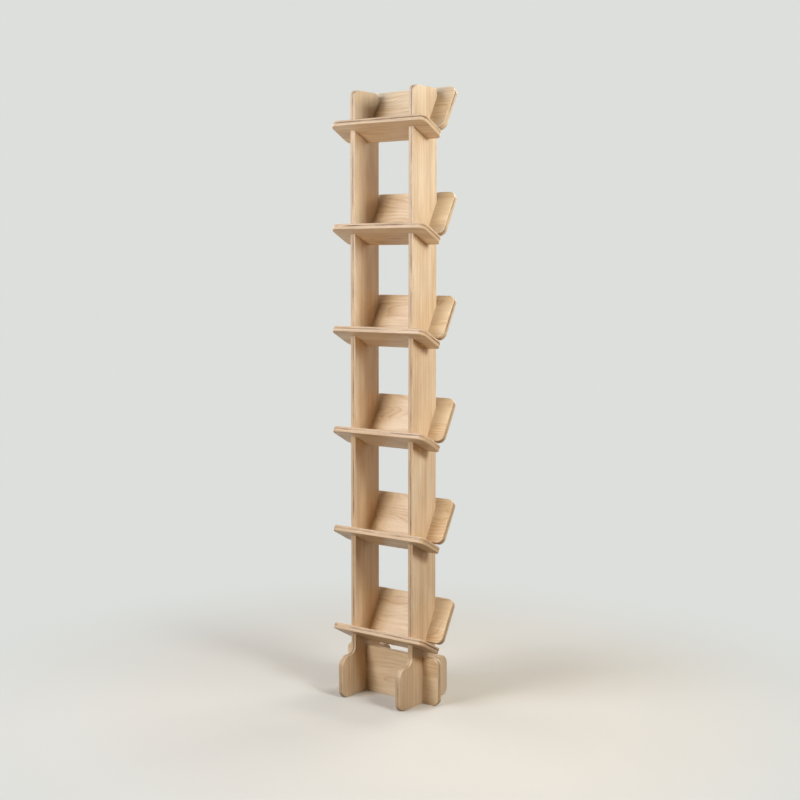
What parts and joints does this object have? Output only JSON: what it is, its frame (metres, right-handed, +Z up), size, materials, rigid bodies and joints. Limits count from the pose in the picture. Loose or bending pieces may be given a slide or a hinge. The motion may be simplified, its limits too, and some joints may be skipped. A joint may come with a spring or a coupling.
{
  "type": "spine bookshelf",
  "caption": "Tall narrow slot-together plywood tower with sloping shelves and leaning back boards that hold books between two uprights.",
  "frame": {"origin": "on the floor, midway between the uprights and under the middle of their depth, which is the middle of the part's footprint", "axes": "+Z up, +X across to the right as seen from the front, +Y from the front to the back, so the front faces -Y"},
  "size_m": [0.352, 0.237, 1.8428],
  "materials": {
    "upright_birch": "clear satin lacquer over birch plywood",
    "plank_birch": "clear satin lacquer over birch plywood",
    "shelf_birch": "clear satin lacquer over birch plywood",
    "back_birch": "clear satin lacquer over birch plywood"
  },
  "bodies": {
    "root": {"left_upright": "upright_birch", "right_upright": "upright_birch", "base_plank": "plank_birch", "shelf_1": "shelf_birch", "shelf_2": "shelf_birch", "shelf_3": "shelf_birch", "shelf_4": "shelf_birch", "shelf_5": "shelf_birch", "shelf_6": "shelf_birch", "back_1": "back_birch", "back_2": "back_birch", "back_3": "back_birch", "back_4": "back_birch", "back_5": "back_birch", "back_6": "back_birch"}
  },
  "joints": []
}
